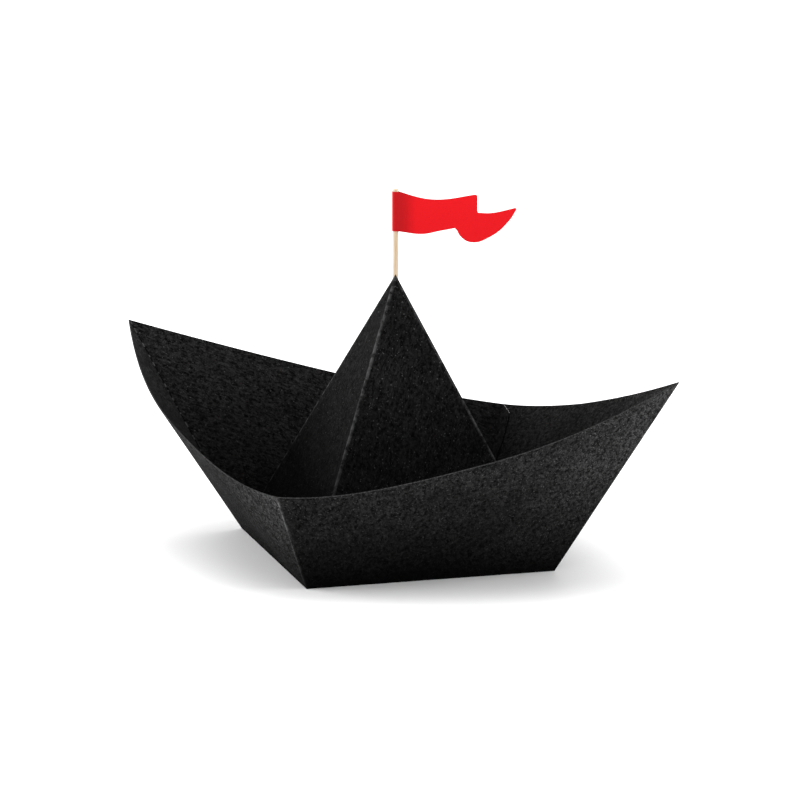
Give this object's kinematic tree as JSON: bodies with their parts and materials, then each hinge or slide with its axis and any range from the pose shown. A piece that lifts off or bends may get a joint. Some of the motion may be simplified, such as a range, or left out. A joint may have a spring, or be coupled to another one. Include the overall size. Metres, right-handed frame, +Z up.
{
  "type": "origami sailboat",
  "caption": "Folded card sailboat with a pyramid sail inside an open, pointed hull, and a small paper pennant on a stick mast.",
  "frame": {"origin": "on the surface it stands on, under the middle of the hull", "axes": "+X towards a pointed end of the hull, +Y towards the glued seam, +Z up"},
  "size_m": [0.21, 0.1578, 0.1229],
  "materials": {
    "black_card": "uncoated black card, fibrous and matt",
    "birch_stick": "plain turned birch",
    "red_paper": "dyed red paper, matt"
  },
  "bodies": {
    "root": {"folded_card": "black_card", "mast": "birch_stick", "flag": "red_paper"}
  },
  "joints": []
}
